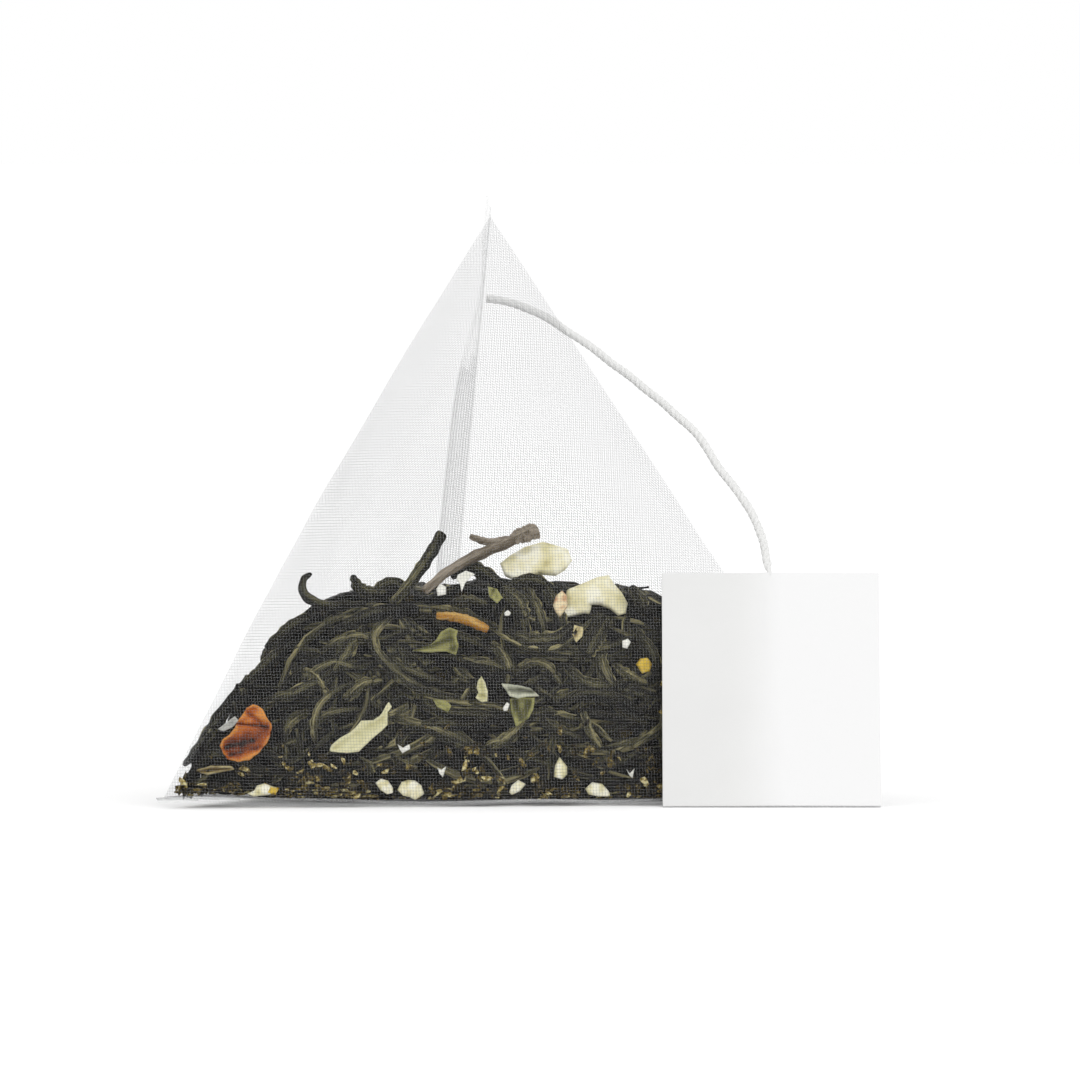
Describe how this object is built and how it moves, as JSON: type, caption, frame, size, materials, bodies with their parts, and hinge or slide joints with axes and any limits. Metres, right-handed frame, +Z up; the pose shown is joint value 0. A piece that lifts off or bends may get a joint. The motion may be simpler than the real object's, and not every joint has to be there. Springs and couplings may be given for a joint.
{
  "type": "pyramid tea bag",
  "caption": "Four-cornered bag of sheer woven mesh with loose leaf tea and petals inside, two sealed fins, a cotton string and a plain square paper tag.",
  "frame": {"origin": "the point of the resting face straight under the apex, on the table", "axes": "+Z up, the apex above the origin; -Y towards the viewer, the way the front face and the tag look; +X to the viewer's right, the side of the string and tag"},
  "size_m": [0.0659, 0.0641, 0.0556],
  "materials": {
    "mesh": "sheer woven nylon mesh, fine white threads with open holes between them",
    "tea": "dry rolled tea leaf, dark grey green, dull",
    "stem": "dry brown stem and tan leaf, dull",
    "orange": "dry orange petal and stem, dull with veins",
    "cream": "dry cream fruit and petal, dull",
    "string": "twisted white cotton",
    "tag": "plain white uncoated card, two plies"
  },
  "bodies": {
    "root": {"mesh_bag": "mesh", "tea_bed": "tea", "hooked_leaf": "tea", "spiky_leaf": "tea", "straight_stem": "tea", "dark_spike": "tea", "broad_leaf": "tea", "curved_leaf": "tea", "inner_leaf": "tea", "middle_leaf": "tea", "arc_leaf": "tea", "bell_leaf": "tea", "wavy_leaf": "tea", "ridged_leaf": "tea", "leaf_stub": "tea", "right_leaf": "tea", "arch_leaf": "tea", "thin_stem": "tea", "olive_leaf": "tea", "low_leaf": "tea", "curl_stem": "tea", "long_leaf": "tea", "left_leaf": "tea", "low_right_leaf": "tea", "top_leaf": "tea", "forked_stem": "stem", "orange_stem": "orange", "orange_petal": "orange", "cream_petal": "cream", "tan_leaf": "stem", "grey_petal": "cream", "cream_sliver": "cream", "white_wedge": "cream", "cream_chip_left": "cream", "cream_chip_small": "cream", "cream_chip_middle": "cream", "cream_chip_low": "cream", "cream_chip_tall": "cream", "cream_chip_right": "cream", "yellow_bud": "orange", "cream_chunk_left": "cream", "cream_chunk_right": "cream", "string": "string", "tag": "tag"}
  },
  "joints": []
}
